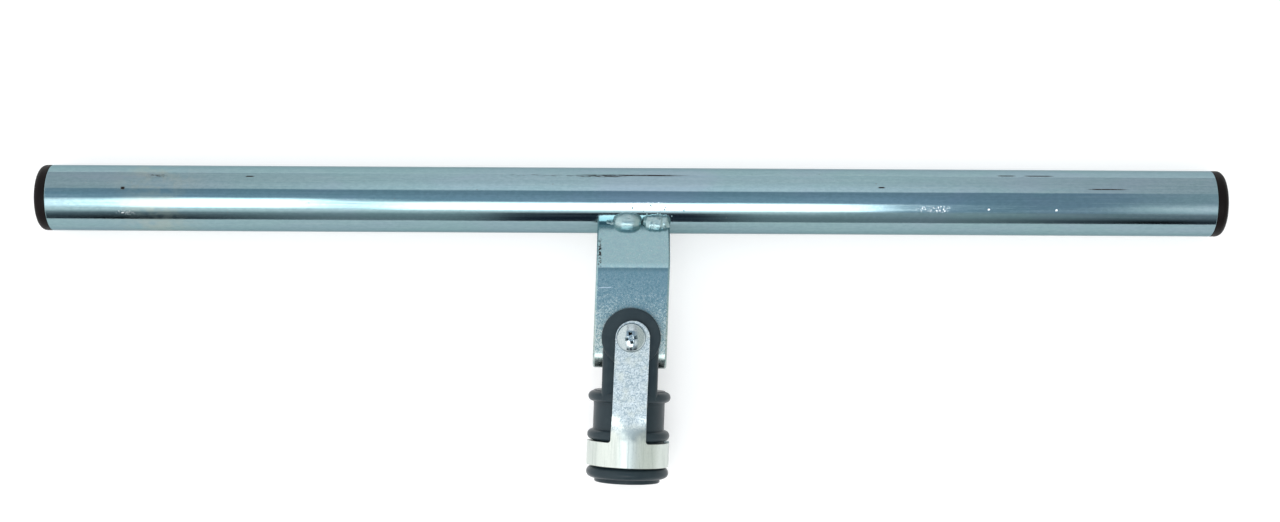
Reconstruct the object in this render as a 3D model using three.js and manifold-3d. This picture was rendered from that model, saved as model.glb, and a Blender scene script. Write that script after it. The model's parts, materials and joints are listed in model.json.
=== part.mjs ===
// Head of a magnetic nail sweeper: a capped steel tube filled with magnets, a bent strap bracket welded to
// its middle, and a plastic handle socket that swivels on the bracket between two steel straps.
// Millimetres. +X runs along the tube, +Y points from the socket to the tube, +Z is up from the surface that
// the head lies on, and the origin is under the middle of the whole.
//
// Most pieces are drawn in the pivot's frame: its origin is where the socket's axis crosses the pivot screw,
// +Y runs up the socket towards the tube and +Z along the screw towards its head.

import * as THREE from "three";
import { mergeVertices } from "three/addons/utils/BufferGeometryUtils.js";
import Module from "manifold-3d";

const GAP = 0.3; // left between pieces that touch

// Magnet tube and its end plugs
const OVERALL_LENGTH = 610;
const TUBE_RADIUS = 17;
const TUBE_WALL = 1.5;
const TUBE_X = -0.45; // the screw sits a little to the right of the tube's middle
const TUBE_Y = 69.6;
const TUBE_Z = -26.5;
const PLUG_HEAD = 5.7;
const PLUG_EDGE = 3.4;
const PLUG_SHANK = 16;
const PLUG_WALL = 2.2;
const PLUG_BARBS = 3;
const PLUG_BARB_DEPTH = 0.7;
const PLUG_BARB_SLOPE = 0.8; // part of a barb's pitch that its slope takes

// Magnets inside the tube, with a steel pole disc on each side of every magnet
const MAGNET_COUNT = 12;
const MAGNET_LENGTH = 41;
const MAGNET_RADIUS = 14.7;
const POLE_THICKNESS = 3;

// Strap bracket
const STRIP_WIDTH = 37;
const STRIP_THICKNESS = 3;
const STRIP_EDGE = 0.9;
const STRIP_X = 0.8; // the neck's middle
const STRIP_FACE_Z = 8;
const STRIP_LOW_Y = -15.8;
const REAR_LEG_TOP = 15;
const NECK_LENGTH = 47.5; // tube axis to the bend, both on the strip's middle plane
const NECK_ANGLE = THREE.MathUtils.degToRad(44);
const NECK_BEND_RADIUS = 8;
const STRIP_SKEW = Math.tan(THREE.MathUtils.degToRad(1.8)); // the bend is a little out of square
const STRIP_END_SKEW = Math.tan(THREE.MathUtils.degToRad(0.9)); // and so is the hairpin

// Weld beads, as [middle from the strip's, half length, half height] on the strip's front and rear faces
const FRONT_BEADS = [[-2.8, 6.9, 5.3], [11.5, 7.1, 4.6]];
const REAR_BEADS = [[-9, 7, 3.8], [9, 7, 3.8]];
const BEAD_MERIDIANS = 16;
const BEAD_PARALLELS = 10;

// Handle socket
const BARREL_RADIUS = 17.9;
const RIB_RADIUS = 20.75;
const RIB_THICKNESS = 5.2;
const RIB_YS = [-49.2, -30];
const FLANGE_Y = -67.9;
const FLANGE_THICKNESS = 5.5;
const MOUTH_Y = -72.9;
const MOUTH_RADIUS = 16.5;
const BORE_MOUTH_RADIUS = 13.1;
const BORE_END_RADIUS = 12.6;
const BORE_END_Y = -30.5;
const EAR_HALF_WIDTH = 13.9;
const EAR_FACE_Z = 17;
const EAR_EDGE = 3;
const SLOT_HALF = STRIP_FACE_Z + GAP;
const SLOT_END_Y = -26.5;
const BOSS_RADIUS = 14.75;
const BOSS_EDGE = 1;
const REST_LEAN = THREE.MathUtils.degToRad(-1.5); // the free socket lies a little to one side

// Straps that carry the screw's load down to the barrel
const STRAP_INNER_Z = BARREL_RADIUS + GAP;
const STRAP_THICKNESS = 2.5;
const STRAP_OUTER_Z = STRAP_INNER_Z + STRAP_THICKNESS;
const ARM_HALF_WIDTH = 8.5;
const BAND_TOP_Y = -52.4;
const BAND_LOW_Y = -64.4;
const BAND_SPLIT = 0.5;
const STRAP_LEAN = THREE.MathUtils.degToRad(-0.8); // each strap sits a little askew in its notches

// Pivot hardware
const SCREW_RADIUS = 3.175;
const SCREW_HEAD_RADIUS = 7.3;
const SCREW_HEAD_HEIGHT = 4.4;
const SCREW_HEAD_RIM = 0.7;
const SCREW_TIP_EDGE = 0.6;
const RECESS_SPAN = 6.2;
const RECESS_WIDTH = 1.2;
const RECESS_DEPTH = 2.6;
const HOLE_RADIUS = SCREW_RADIUS + GAP;
const BUSHING_RADIUS = 5;
const WASHER_RADIUS = 7.9;
const WASHER_THICKNESS = 1.4;
const NUT_ACROSS_FLATS = 11.1;
const NUT_HEX_HEIGHT = 3.8;
const NUT_COLLAR_RADIUS = 5.3;
const NUT_COLLAR_HEIGHT = 2.2;
const NYLON_RADIUS = 4.3;

// Facets round a full circle
const LARGE_ROUND = 40;
const MEDIUM_ROUND = 24;
const SMALL_ROUND = 16;

// Steps along a rounded edge, and along an extruded shape's curve
const EDGE_STEPS = 8;
const FINE_EDGE_STEPS = 3;
const PLUG_EDGE_STEPS = 5;
const HEAD_DOME_STEPS = 7;
const CURVE_STEPS = 12;
const STRIP_CURVE_STEPS = 10;
const STRIP_EDGE_STEPS = 2;
const EAR_CURVE_STEPS = 4;

const MERGE_TOLERANCE = 1e-4;

const wasm = await Module();
wasm.setup();

// ---- Solids ----

// A closed geometry as a solid that can be joined and cut.
function solidOf(geometry) {
  const bare = new THREE.BufferGeometry();
  bare.setAttribute("position", geometry.getAttribute("position"));
  bare.setIndex(geometry.getIndex());
  const merged = mergeVertices(bare, MERGE_TOLERANCE);
  const corners = Array.from(merged.getIndex().array);
  const triangles = [];
  for (let i = 0; i < corners.length; i += 3) {
    const [a, b, c] = corners.slice(i, i + 3);
    if (a !== b && b !== c && c !== a) {
      triangles.push(a, b, c);
    }
  }
  return new wasm.Manifold(new wasm.Mesh({
    numProp: 3,
    vertProperties: new Float32Array(merged.getAttribute("position").array),
    triVerts: new Uint32Array(triangles),
  }));
}

// The geometry of a solid.
function geometryOf(solid) {
  const mesh = solid.getMesh();
  const geometry = new THREE.BufferGeometry();
  geometry.setAttribute("position", new THREE.BufferAttribute(new Float32Array(mesh.vertProperties), 3));
  geometry.setIndex(new THREE.BufferAttribute(new Uint32Array(mesh.triVerts), 1));
  const faceted = geometry.toNonIndexed();
  faceted.computeVertexNormals();
  return faceted;
}

// A profile of [radius, height] points turned round the Y axis.
function turned(profile, facets) {
  const points = profile.map(([radius, height]) => new THREE.Vector2(radius, height));
  return solidOf(new THREE.LatheGeometry(points, facets));
}

// A ring round the Y axis with a rectangular section.
function ring(inner, outer, low, high, facets) {
  return turned([[inner, low], [outer, low], [outer, high], [inner, high], [inner, low]], facets);
}

// A round bar along Y.
function bar(radius, low, high, facets) {
  return turned([[0, low], [radius, low], [radius, high], [0, high]], facets);
}

// A solid drawn round the Y axis, turned to run along Z instead.
function alongZ(solid) {
  return solid.rotate([90, 0, 0]);
}

function box(lowCorner, highCorner) {
  const low = new THREE.Vector3(...lowCorner);
  const high = new THREE.Vector3(...highCorner);
  const size = high.clone().sub(low);
  const middle = low.add(high).multiplyScalar(0.5);
  return solidOf(new THREE.BoxGeometry(size.x, size.y, size.z).translate(middle.x, middle.y, middle.z));
}

// A flat outline in X and Y, extruded from one Z to another.
function plate(shape, lowZ, highZ) {
  const options = { depth: highZ - lowZ, bevelEnabled: false, curveSegments: CURVE_STEPS };
  return solidOf(new THREE.ExtrudeGeometry(shape, options).translate(0, 0, lowZ));
}

// Points on part of a circle in a profile, from one angle to another in degrees.
function arc(centreRadius, centreHeight, radius, fromDegrees, toDegrees, steps) {
  const points = [];
  for (let i = 0; i <= steps; i += 1) {
    const angle = THREE.MathUtils.degToRad(fromDegrees + (toDegrees - fromDegrees) * i / steps);
    points.push([centreRadius + radius * Math.cos(angle), centreHeight + radius * Math.sin(angle)]);
  }
  return points;
}

// ---- Materials ----

function material(colour, roughness, metalness) {
  return () => new THREE.MeshStandardMaterial({ color: colour, roughness, metalness });
}

const zinc = material(0xa9bcc4, 0.3, 1);
const frostedZinc = material(0xb9c6cc, 0.45, 1);
const weldMetal = material(0x93a4aa, 0.5, 1);
const greyPlastic = material(0x42505a, 0.45, 0);
const blackPlastic = material(0x0c0a0a, 0.4, 0);
const ferrite = material(0x2b2b2d, 0.8, 0);
const poleSteel = material(0x8f9296, 0.4, 1);
const spacerPlastic = material(0xd8d8d2, 0.6, 0);
const nylon = material(0xdfe6ea, 0.4, 0);

function piece(name, solid, surface) {
  const mesh = new THREE.Mesh(geometryOf(solid), surface());
  mesh.name = name;
  return mesh;
}

// ---- Magnet tube ----

const TUBE_LENGTH = OVERALL_LENGTH - 2 * (PLUG_HEAD + GAP);
const TUBE_INNER = TUBE_RADIUS - TUBE_WALL;

function tubeBody() {
  return piece(
    "magnet_tube", ring(TUBE_INNER, TUBE_RADIUS, -TUBE_LENGTH / 2, TUBE_LENGTH / 2, LARGE_ROUND), zinc,
  );
}

// A push-in plug drawn with its head upwards: a domed head over a barbed, hollow shank.
function endPlug(name) {
  const shank = TUBE_INNER - GAP;
  const barb = PLUG_SHANK / (PLUG_BARBS + 1);
  const profile = [[0, 0], [shank - PLUG_WALL, 0], [shank - PLUG_WALL, -PLUG_SHANK]];
  for (let i = 0; i < PLUG_BARBS; i += 1) {
    const low = -PLUG_SHANK + i * barb;
    profile.push([shank - PLUG_BARB_DEPTH, low], [shank, low + barb * PLUG_BARB_SLOPE]);
  }
  profile.push([shank, 0], [TUBE_RADIUS, 0]);
  profile.push(...arc(TUBE_RADIUS - PLUG_EDGE, PLUG_HEAD - PLUG_EDGE, PLUG_EDGE, 0, 90, PLUG_EDGE_STEPS));
  profile.push([0, PLUG_HEAD]);
  return piece(name, turned(profile, MEDIUM_ROUND), blackPlastic);
}

// Plugs, spacers, pole discs and magnets, laid out along the tube's own Y axis.
function tubeContents() {
  const contents = new THREE.Group();
  const right = endPlug("right_end_plug");
  right.position.y = TUBE_LENGTH / 2 + GAP;
  const left = endPlug("left_end_plug");
  left.position.y = -right.position.y;
  left.rotation.z = Math.PI;
  contents.add(right, left);

  const room = TUBE_LENGTH + 2 * GAP - 2 * PLUG_SHANK;
  const poleCount = MAGNET_COUNT + 1;
  const gapCount = MAGNET_COUNT + poleCount + 3;
  const stack = MAGNET_COUNT * MAGNET_LENGTH + poleCount * POLE_THICKNESS + gapCount * GAP;
  const spacerLength = (room - stack) / 2;
  let next = -room / 2 + GAP;
  const place = (name, length, facets, surface) => {
    const slug = piece(name, bar(MAGNET_RADIUS, 0, length, facets), surface);
    slug.position.y = next;
    next += length + GAP;
    contents.add(slug);
  };
  place("left_spacer", spacerLength, SMALL_ROUND, spacerPlastic);
  for (let i = 1; i <= MAGNET_COUNT; i += 1) {
    place(`pole_disc_${i}`, POLE_THICKNESS, SMALL_ROUND, poleSteel);
    place(`magnet_${i}`, MAGNET_LENGTH, SMALL_ROUND, ferrite);
  }
  place(`pole_disc_${poleCount}`, POLE_THICKNESS, SMALL_ROUND, poleSteel);
  place("right_spacer", spacerLength, SMALL_ROUND, spacerPlastic);
  return contents;
}

function magnetTube() {
  const group = new THREE.Group();
  group.add(tubeBody(), tubeContents());
  group.rotation.z = -Math.PI / 2;
  group.position.set(TUBE_X, TUBE_Y, TUBE_Z);
  return group;
}

// ---- Bracket ----

// The strip's side outline, as X and Y of a shape that stand for the pivot frame's Y and Z. The neck runs out
// from the tube, bends to lie along the socket, and turns back under itself round the pivot screw.
function bracketOutline() {
  const half = STRIP_THICKNESS / 2;
  const outward = new THREE.Vector2(-Math.cos(NECK_ANGLE), Math.sin(NECK_ANGLE));
  const front = new THREE.Vector2(outward.y, -outward.x);
  const tube = new THREE.Vector2(TUBE_Y, TUBE_Z);
  const vertex = tube.clone().addScaledVector(outward, NECK_LENGTH);
  const root = tube.clone().addScaledVector(outward, TUBE_RADIUS + GAP);
  const bendX = vertex.x - NECK_BEND_RADIUS * Math.tan(NECK_ANGLE / 2);
  const bendY = vertex.y - NECK_BEND_RADIUS;
  const bendFrom = Math.PI / 2 - NECK_ANGLE;
  const hairpinRadius = STRIP_FACE_Z;
  const hairpinX = STRIP_LOW_Y + hairpinRadius;
  const legInner = STRIP_FACE_Z - STRIP_THICKNESS;

  const shape = new THREE.Shape();
  const rootFront = root.clone().addScaledVector(front, half);
  const rootRear = root.clone().addScaledVector(front, -half);
  shape.moveTo(rootFront.x, rootFront.y);
  shape.absarc(bendX, bendY, NECK_BEND_RADIUS + half, bendFrom, Math.PI / 2, false);
  shape.absarc(hairpinX, 0, hairpinRadius, Math.PI / 2, 1.5 * Math.PI, false);
  shape.lineTo(REAR_LEG_TOP, -hairpinRadius);
  shape.lineTo(REAR_LEG_TOP, -legInner);
  shape.absarc(hairpinX, 0, legInner, 1.5 * Math.PI, Math.PI / 2, true);
  shape.absarc(bendX, bendY, NECK_BEND_RADIUS - half, Math.PI / 2, bendFrom, true);
  shape.lineTo(rootRear.x, rootRear.y);
  return shape;
}

function bracket() {
  const options = {
    depth: STRIP_WIDTH - 2 * STRIP_EDGE,
    bevelThickness: STRIP_EDGE,
    bevelSize: STRIP_EDGE,
    bevelOffset: -STRIP_EDGE,
    bevelSegments: STRIP_EDGE_STEPS,
    curveSegments: STRIP_CURVE_STEPS,
  };
  const geometry = new THREE.ExtrudeGeometry(bracketOutline(), options);
  geometry.translate(0, 0, -STRIP_WIDTH / 2 + STRIP_EDGE);
  const sideways = new THREE.Matrix4().makeBasis(
    new THREE.Vector3(0, 1, 0), new THREE.Vector3(0, 0, 1), new THREE.Vector3(1, 0, 0),
  );
  geometry.applyMatrix4(sideways);
  const bendY = TUBE_Y - NECK_LENGTH * Math.cos(NECK_ANGLE);
  const position = geometry.getAttribute("position");
  for (let i = 0; i < position.count; i += 1) {
    const across = position.getX(i);
    const below = Math.max(0, bendY - position.getY(i));
    position.setX(i, STRIP_X + across - below * STRIP_SKEW);
    position.setY(i, position.getY(i) - across * STRIP_END_SKEW * below / (bendY - STRIP_LOW_Y));
  }
  const screwHole = alongZ(bar(BUSHING_RADIUS + GAP, -TUBE_RADIUS, TUBE_RADIUS, MEDIUM_ROUND));
  return piece("strap_bracket", solidOf(geometry).subtract(screwHole), zinc);
}

// A bead in the corner between the tube and one face of the neck: side is 1 on the front face and -1 on the
// rear. It is drawn with the tube's axis as X, the neck's front face looking along Y and the neck running out
// along Z.
function weldBead(name, middle, halfLength, halfHeight, side) {
  const face = STRIP_THICKNESS / 2 + GAP;
  const reach = 2 * TUBE_RADIUS;
  const ball = new THREE.SphereGeometry(1, BEAD_MERIDIANS, BEAD_PARALLELS);
  ball.scale(halfLength, halfHeight, halfHeight);
  ball.translate(middle, side * face, TUBE_RADIUS + GAP);
  const strip = box([-reach, side > 0 ? -reach : -face, 0], [reach, side > 0 ? face : reach, reach]);
  const tube = bar(TUBE_RADIUS + GAP, -reach, reach, LARGE_ROUND).rotate([0, 0, 90]);
  return piece(name, solidOf(ball).subtract(strip).subtract(tube), weldMetal);
}

function weldBeads() {
  const group = new THREE.Group();
  FRONT_BEADS.forEach(([middle, length, height], i) => {
    group.add(weldBead(`front_weld_bead_${i + 1}`, middle, length, height, 1));
  });
  REAR_BEADS.forEach(([middle, length, height], i) => {
    group.add(weldBead(`rear_weld_bead_${i + 1}`, middle, length, height, -1));
  });
  group.position.set(STRIP_X, TUBE_Y, TUBE_Z);
  group.rotation.x = Math.PI / 2 - NECK_ANGLE;
  return group;
}

// ---- Handle socket ----

// A collar's rounded edge in the barrel's profile, from below to above.
function collar(middleY, thickness, radius) {
  const edge = thickness / 2;
  return [
    [BARREL_RADIUS, middleY - edge],
    ...arc(radius - edge, middleY, edge, -90, 90, EDGE_STEPS),
    [BARREL_RADIUS, middleY + edge],
  ];
}

function barrel() {
  const flangeLow = FLANGE_Y - FLANGE_THICKNESS / 2;
  const profile = [
    [0, BORE_END_Y],
    [BORE_END_RADIUS, BORE_END_Y],
    [BORE_MOUTH_RADIUS, MOUTH_Y],
    [MOUTH_RADIUS, MOUTH_Y],
    [MOUTH_RADIUS, flangeLow],
    ...collar(FLANGE_Y, FLANGE_THICKNESS, RIB_RADIUS).slice(1),
  ];
  for (const middleY of RIB_YS) {
    profile.push(...collar(middleY, RIB_THICKNESS, RIB_RADIUS));
  }
  profile.push([BARREL_RADIUS, SLOT_END_Y], [0, SLOT_END_Y]);
  return turned(profile, LARGE_ROUND);
}

// Both ears as one block with rounded long edges and a round end, before the slot is cut.
function earBlock() {
  const x = EAR_HALF_WIDTH - EAR_EDGE;
  const z = EAR_FACE_Z - EAR_EDGE;
  const section = new THREE.Shape();
  section.absarc(x, z, EAR_EDGE, 0, Math.PI / 2, false);
  section.absarc(-x, z, EAR_EDGE, Math.PI / 2, Math.PI, false);
  section.absarc(-x, -z, EAR_EDGE, Math.PI, 1.5 * Math.PI, false);
  section.absarc(x, -z, EAR_EDGE, 1.5 * Math.PI, 2 * Math.PI, false);
  const lowY = RIB_YS[1];
  const height = EAR_HALF_WIDTH - lowY;
  const options = { depth: height, bevelEnabled: false, curveSegments: EAR_CURVE_STEPS };
  const upright = new THREE.ExtrudeGeometry(section, options);
  upright.rotateX(-Math.PI / 2).translate(0, lowY, 0);

  const tongue = new THREE.Shape();
  tongue.moveTo(-EAR_HALF_WIDTH, lowY);
  tongue.lineTo(EAR_HALF_WIDTH, lowY);
  tongue.absarc(0, 0, EAR_HALF_WIDTH, 0, Math.PI, false);
  return solidOf(upright).intersect(plate(tongue, -EAR_FACE_Z, EAR_FACE_Z));
}

function boss(side) {
  const profile = [
    [0, SLOT_HALF - GAP],
    [BOSS_RADIUS, SLOT_HALF - GAP],
    ...arc(BOSS_RADIUS - BOSS_EDGE, BARREL_RADIUS - BOSS_EDGE, BOSS_EDGE, 0, 90, FINE_EDGE_STEPS),
    [0, BARREL_RADIUS],
  ];
  return turned(profile, LARGE_ROUND).rotate([side * 90, 0, 0]);
}

// A solid drawn square to the front of the barrel, turned to sit as the front strap does.
function askew(solid) {
  const turnY = (BAND_TOP_Y + BAND_LOW_Y) / 2;
  return solid.translate([0, -turnY, 0])
    .rotate([0, 0, THREE.MathUtils.radToDeg(STRAP_LEAN)])
    .translate([0, turnY, 0]);
}

function socket() {
  const reach = 2 * RIB_RADIUS;
  const slot = box([-reach, SLOT_END_Y, -SLOT_HALF], [reach, reach, SLOT_HALF]);
  const armRoom = ARM_HALF_WIDTH + GAP;
  const frontArm = askew(box([-armRoom, BAND_TOP_Y - GAP, BARREL_RADIUS], [armRoom, 0, reach]));
  const rearArm = frontArm.rotate([0, 180, 0]);
  const screwHole = alongZ(bar(HOLE_RADIUS, -reach, reach, SMALL_ROUND));
  const solid = barrel()
    .add(earBlock())
    .add(boss(1))
    .add(boss(-1))
    .subtract(slot)
    .subtract(frontArm)
    .subtract(rearArm)
    .subtract(screwHole);
  return piece("handle_socket", solid, greyPlastic);
}

// A T-shaped stamping: a flat arm up to the screw and a crossbar that wraps half of the barrel. Side is 1 in
// front and -1 at the rear.
function strap(name, side) {
  const arm = new THREE.Shape();
  arm.moveTo(-ARM_HALF_WIDTH, BAND_TOP_Y - GAP);
  arm.lineTo(ARM_HALF_WIDTH, BAND_TOP_Y - GAP);
  arm.absarc(0, 0, ARM_HALF_WIDTH, 0, Math.PI, false);
  const reach = 2 * RIB_RADIUS;
  const half = box([-reach, -reach * 2, BAND_SPLIT], [reach, 0, reach]);
  const band = ring(STRAP_INNER_Z, STRAP_OUTER_Z, BAND_LOW_Y, BAND_TOP_Y, LARGE_ROUND).intersect(half);
  const screwHole = alongZ(bar(HOLE_RADIUS, -reach, reach, SMALL_ROUND));
  const solid = askew(plate(arm, STRAP_INNER_Z, STRAP_OUTER_Z).add(band)).subtract(screwHole);
  const mesh = piece(name, solid, frostedZinc);
  mesh.rotation.y = side > 0 ? 0 : Math.PI;
  return mesh;
}

// ---- Pivot hardware, drawn round the Y axis and turned to run along Z ----

const HEAD_SEAT = STRAP_OUTER_Z + GAP;
const WASHER_TOP = -(STRAP_OUTER_Z + GAP);
const NUT_TOP = WASHER_TOP - WASHER_THICKNESS - GAP;
const NUT_SHOULDER = NUT_TOP - NUT_HEX_HEIGHT;
const NUT_END = NUT_SHOULDER - NUT_COLLAR_HEIGHT;

function screw() {
  const top = HEAD_SEAT + SCREW_HEAD_HEIGHT;
  const profile = [
    [0, NUT_END - GAP],
    [SCREW_RADIUS - SCREW_TIP_EDGE, NUT_END - GAP],
    [SCREW_RADIUS, NUT_END + GAP],
    [SCREW_RADIUS, HEAD_SEAT],
    [SCREW_HEAD_RADIUS, HEAD_SEAT],
  ];
  const rise = SCREW_HEAD_HEIGHT - SCREW_HEAD_RIM;
  for (let i = 0; i <= HEAD_DOME_STEPS; i += 1) {
    const angle = (Math.PI / 2) * (i / HEAD_DOME_STEPS);
    const radius = i === HEAD_DOME_STEPS ? 0 : SCREW_HEAD_RADIUS * Math.cos(angle);
    profile.push([radius, HEAD_SEAT + SCREW_HEAD_RIM + rise * Math.sin(angle)]);
  }
  const recess = (wide, deep) => box([-wide, top - RECESS_DEPTH, -deep], [wide, top + GAP, deep]);
  const solid = turned(profile, MEDIUM_ROUND)
    .subtract(recess(RECESS_SPAN / 2, RECESS_WIDTH / 2))
    .subtract(recess(RECESS_WIDTH / 2, RECESS_SPAN / 2));
  return piece("pivot_screw", alongZ(solid), zinc);
}

function bushing() {
  const half = SLOT_HALF - GAP;
  const solid = ring(HOLE_RADIUS, BUSHING_RADIUS, -half, half, MEDIUM_ROUND);
  return piece("pivot_bushing", alongZ(solid), poleSteel);
}

function washer() {
  const solid = ring(HOLE_RADIUS, WASHER_RADIUS, WASHER_TOP - WASHER_THICKNESS, WASHER_TOP, MEDIUM_ROUND);
  return piece("rear_washer", alongZ(solid), zinc);
}

function lockNut() {
  const cornerRadius = NUT_ACROSS_FLATS / 2 / Math.cos(Math.PI / 6);
  const solid = bar(cornerRadius, NUT_SHOULDER, NUT_TOP, 6)
    .add(bar(NUT_COLLAR_RADIUS, NUT_END, NUT_SHOULDER + GAP, MEDIUM_ROUND))
    .subtract(bar(HOLE_RADIUS, NUT_END - GAP, NUT_TOP + GAP, SMALL_ROUND))
    .subtract(bar(NYLON_RADIUS + GAP, NUT_END - GAP, NUT_SHOULDER, SMALL_ROUND));
  return piece("lock_nut", alongZ(solid), zinc);
}

function nylonInsert() {
  const solid = ring(HOLE_RADIUS, NYLON_RADIUS, NUT_END + GAP, NUT_SHOULDER - GAP, SMALL_ROUND);
  return piece("lock_nut_insert", alongZ(solid), nylon);
}

// ---- Assembly ----

function yoke() {
  const group = new THREE.Group();
  group.add(socket(), strap("front_strap", 1), strap("rear_strap", -1));
  group.add(screw(), bushing(), washer(), lockNut(), nylonInsert());
  group.rotation.z = REST_LEAN;
  return group;
}

// The head lies on the tube and on the rim of the socket's flange. This is the slope, from level, of a line
// that touches both circles from below.
function restTilt() {
  const rim = FLANGE_THICKNESS / 2;
  const run = TUBE_Y - FLANGE_Y;
  const rise = TUBE_Z + RIB_RADIUS - rim;
  return Math.asin((TUBE_RADIUS - rim) / Math.hypot(run, rise)) - Math.atan2(rise, run);
}

const pivotFrame = new THREE.Group();
pivotFrame.add(magnetTube(), bracket(), weldBeads(), yoke());
pivotFrame.rotation.x = restTilt();

const sweeper = new THREE.Group();
sweeper.add(pivotFrame);
sweeper.updateMatrixWorld(true);
const bounds = new THREE.Box3().setFromObject(sweeper, true);
pivotFrame.position.set(-TUBE_X, -(bounds.min.y + bounds.max.y) / 2, -bounds.min.z);

export default sweeper;
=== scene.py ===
"""Looks of the magnetic nail sweeper head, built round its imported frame.

Shapes are drawn in millimetres in one of three frames and placed in metres: the tube's (X along the tube),
the pivot's (Y up the socket towards the tube, Z along the screw towards its head) and the yoke's, which is
the pivot's turned to where the free socket lies.
"""

import json
import math
import random

import bmesh
import bpy
from mathutils import Matrix, Vector, noise


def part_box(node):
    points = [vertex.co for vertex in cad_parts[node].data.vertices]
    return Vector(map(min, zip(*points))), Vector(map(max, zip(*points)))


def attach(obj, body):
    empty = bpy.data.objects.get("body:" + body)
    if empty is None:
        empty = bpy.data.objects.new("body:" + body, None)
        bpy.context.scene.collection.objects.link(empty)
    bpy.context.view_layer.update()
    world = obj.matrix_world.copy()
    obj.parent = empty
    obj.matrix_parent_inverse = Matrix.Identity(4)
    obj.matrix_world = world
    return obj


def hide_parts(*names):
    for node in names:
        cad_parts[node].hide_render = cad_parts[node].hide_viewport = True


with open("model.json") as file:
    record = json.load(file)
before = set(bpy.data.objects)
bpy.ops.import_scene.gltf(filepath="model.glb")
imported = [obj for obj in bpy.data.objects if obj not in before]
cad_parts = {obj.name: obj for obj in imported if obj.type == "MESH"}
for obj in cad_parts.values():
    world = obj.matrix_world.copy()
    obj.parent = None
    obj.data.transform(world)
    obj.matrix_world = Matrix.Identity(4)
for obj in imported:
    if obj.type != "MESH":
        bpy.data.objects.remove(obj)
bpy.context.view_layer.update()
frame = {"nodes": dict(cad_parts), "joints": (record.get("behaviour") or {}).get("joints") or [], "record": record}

MM = 0.001

# ---- Frames ----

SWIVEL = frame["joints"][0]
MOUTH = frame["record"]["mounts"][0]
TUBE_LOW, TUBE_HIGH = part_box("magnet_tube")
TUBE_CENTRE = (TUBE_LOW + TUBE_HIGH) / 2
TUBE_RADIUS = (TUBE_HIGH.z - TUBE_LOW.z) / 2 / MM
TUBE_LENGTH = (TUBE_HIGH.x - TUBE_LOW.x) / MM
PLUG_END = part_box("right_end_plug")[1].x / MM


def frame_matrix(origin, x_axis, y_axis, z_axis):
    """Takes millimetres in a frame to metres in the object's frame."""
    axes = Matrix((x_axis, y_axis, z_axis)).transposed().to_4x4()
    return Matrix.Translation(origin) @ axes @ Matrix.Scale(MM, 4)


OBJECT_X = Vector((1, 0, 0))
PIVOT_Z = Vector(SWIVEL["axis"]).normalized()
PIVOT_Y = PIVOT_Z.cross(OBJECT_X).normalized()
PIVOT = frame_matrix(Vector(SWIVEL["pos_m"]), OBJECT_X, PIVOT_Y, PIVOT_Z)
YOKE_Y = -Vector(MOUTH["axis"]).normalized()
YOKE_X = YOKE_Y.cross(PIVOT_Z).normalized()
YOKE = frame_matrix(Vector(SWIVEL["pos_m"]), YOKE_X, YOKE_Y, PIVOT_Z)
TUBE = frame_matrix(TUBE_CENTRE, OBJECT_X, Vector((0, 1, 0)), Vector((0, 0, 1)))
TUBE_IN_PIVOT = PIVOT.inverted() @ TUBE_CENTRE

# ---- Sizes in millimetres ----

# _X, _Y and _Z in a name are along the pivot frame's axes or, on what swivels, the yoke frame's.
STRIP_WIDTH = 37
STRIP_THICKNESS = 3
STRIP_EDGE = 1.1
STRIP_X = 0.8
STRIP_FACE_Z = 8
STRIP_LOW_Y = -15.8
BEND_Y = 34.8
STRIP_STEP = 3  # the longest step along its path
REAR_LEG_TOP = 15
NECK_LENGTH = 47.5
NECK_ANGLE = math.radians(44)
NECK_BEND_RADIUS = 8
STRIP_SKEW = math.tan(math.radians(1.8))
STRIP_END_SKEW = math.tan(math.radians(0.9))

BARREL_RADIUS = 17.9
COLLAR_RADIUS = 20.7
RIB_THICKNESS = 5.2
RIB_YS = (-49.2, -30)
COLLAR_FILLET = 0.5
COLLAR_TURN = 0.15
FLANGE_Y = -67.9
FLANGE_THICKNESS = 5.5
MOUTH_Y = -72.9
MOUTH_RADIUS = 16.5
MOUTH_EDGE = 0.6
BORE_MOUTH_RADIUS = 13.1
BORE_END_RADIUS = 12.6
BORE_END_Y = -30.5
BORE_CHAMFER = 0.8
EAR_HALF_WIDTH = 13.9
EAR_FACE_Z = 17
EAR_EDGE = 3
EAR_ROOT_DEPTH = 0.9
SLOT_HALF = 8.3
SLOT_END_Y = -26.5
BOSS_RADIUS = 14.7
BOSS_EDGE = 0.9
BOSS_ROOT_Z = 9
GROOVE_CLEARANCE = 0.25

STRAP_INNER_Z = 18.2
STRAP_THICKNESS = 2.5
STRAP_MIDDLE_Z = STRAP_INNER_Z + STRAP_THICKNESS / 2
ARM_HALF_WIDTH = 8.5
BAND_TOP_Y = -52.4
BAND_LOW_Y = -64.4
BAND_SPLIT = 0.5
STRAP_LEAN = math.radians(-0.8)
ARM_FILLET = 1.6
ARM_CURL = (-38, -51)  # the arm is flat above the first height and follows the barrel below the second

SCREW_RADIUS = 3.175
HOLE_RADIUS = 3.475
SCREW_HEAD_RADIUS = 7.25
SCREW_HEAD_HEIGHT = 4.35
SCREW_HEAD_RIM = 0.8
SCREW_HEAD_EDGE = 0.3
SCREW_CHAMFER = 0.6
SCREW_PAST_NUT = 0.2
RECESS_TURN = 12  # in degrees
SCREW_SEAT = 20.75
BUSHING_RADIUS = 5
BUSHING_HALF = 8.1
BUSHING_CLEARANCE = 0.3
WASHER_TOP = -20.75
WASHER_RADIUS = 7.85
WASHER_THICKNESS = 1.6
RING_EDGE = 0.3
NUT_TOP = -22.4
NUT_SHOULDER = -26.5
NUT_END = -28.7
NUT_ACROSS_FLATS = 11.1
NUT_CHAMFER = 0.7
NUT_COLLAR_RADIUS = 5.3
NYLON_RADIUS = 4.55

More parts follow.
